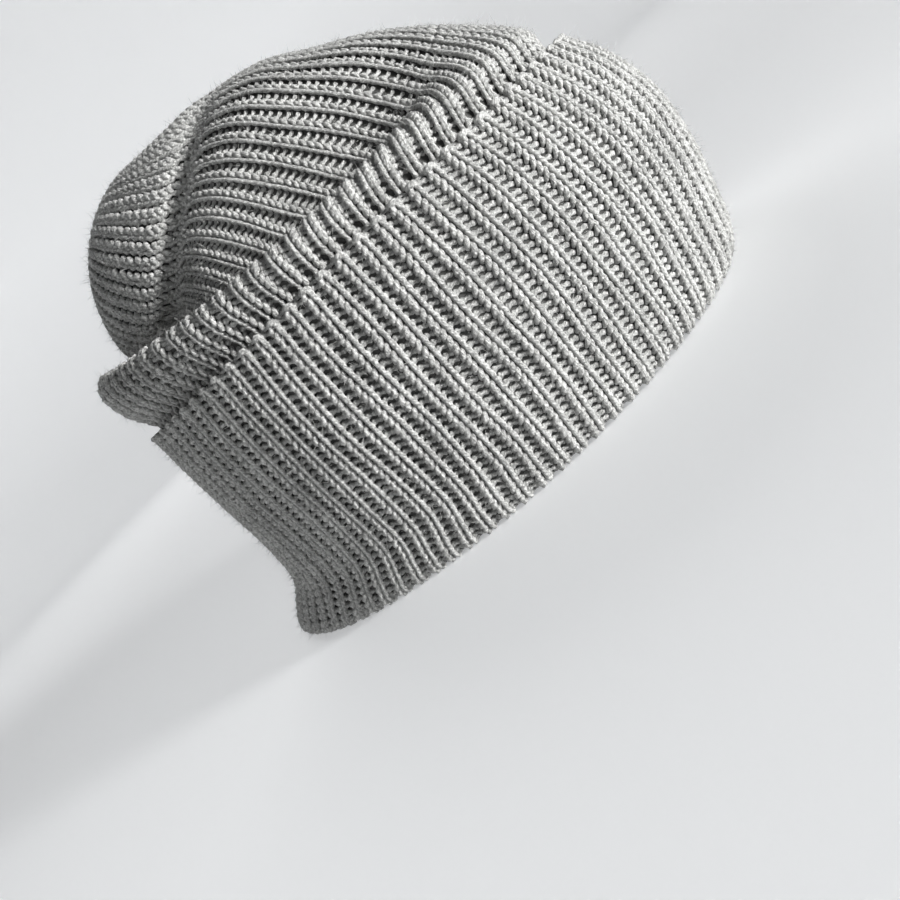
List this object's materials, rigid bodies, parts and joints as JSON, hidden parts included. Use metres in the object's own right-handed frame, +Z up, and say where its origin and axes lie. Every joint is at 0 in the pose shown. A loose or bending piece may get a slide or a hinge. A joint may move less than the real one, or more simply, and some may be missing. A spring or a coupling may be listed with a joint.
{
  "type": "beanie",
  "caption": "Slouchy ribbed knit beanie with a deep turned-up cuff, a rolled fold above it and a gathered crown that hangs at the back.",
  "frame": {"origin": "middle of the hat's outline in plan, on the plane that its rim rests on", "axes": "+X to the wearer's forehead, +Y to the wearer's left, +Z up from the rim to the crown"},
  "size_m": [0.2292, 0.17, 0.1611],
  "materials": {
    "cuff_knit": "light grey ribbed knitting of smooth plied yarn",
    "crown_knit": "light grey ribbed knitting of smooth plied yarn"
  },
  "bodies": {
    "root": {"cuff": "cuff_knit", "crown": "crown_knit"}
  },
  "joints": []
}
